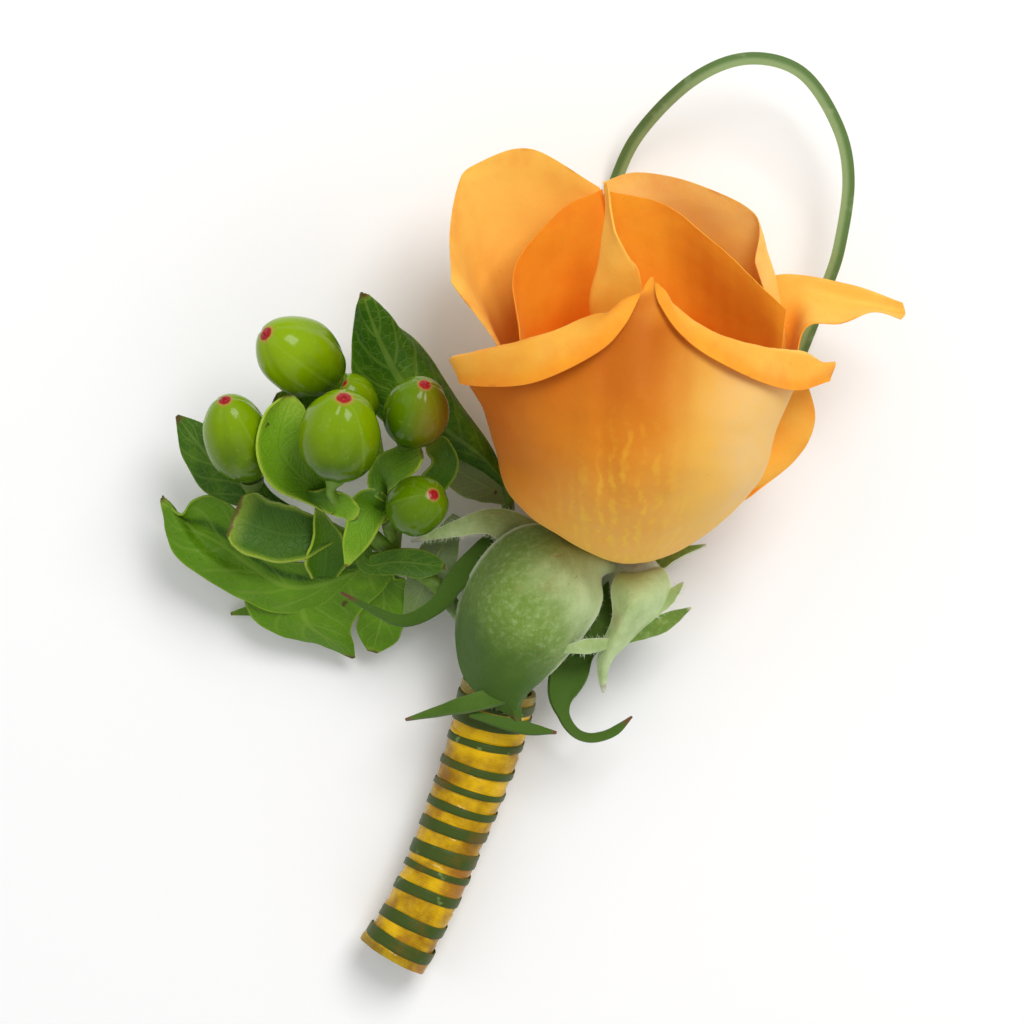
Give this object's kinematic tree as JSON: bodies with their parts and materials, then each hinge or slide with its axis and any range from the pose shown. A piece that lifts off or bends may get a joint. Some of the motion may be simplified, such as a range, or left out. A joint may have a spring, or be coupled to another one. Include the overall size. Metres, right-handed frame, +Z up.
{
  "type": "boutonniere",
  "caption": "Buttonhole flower lying on its back: a half-open orange rose with green-berried hypericum and a looped grass blade, bound with ribbon",
  "frame": {"origin": "on the table, under the middle of the flower's box as it lies", "axes": "+Y from the cut end of the handle towards the top of the rose and the grass loop, +X to the rose's right with the hypericum on -X, +Z up from the table to the front of the flower"},
  "size_m": [0.0885, 0.1109, 0.0446],
  "materials": {
    "rose_bloom": "matte",
    "rose_green": "matte",
    "hypericum_leaf": "matte",
    "hypericum_berry": "gloss",
    "grass": "satin",
    "ribbon": "gloss"
  },
  "bodies": {
    "root": {"rose_petals": "rose_bloom", "rose_calyx": "rose_green", "hypericum_spray": "hypericum_leaf", "hypericum_berry_top": "hypericum_berry", "hypericum_berry_left": "hypericum_berry", "hypericum_berry_middle": "hypericum_berry", "hypericum_berry_right": "hypericum_berry", "hypericum_berry_low": "hypericum_berry", "hypericum_berry_hidden": "hypericum_berry", "grass_loop": "grass", "grass_winding": "grass", "ribbon_wrap": "ribbon"}
  },
  "joints": []
}
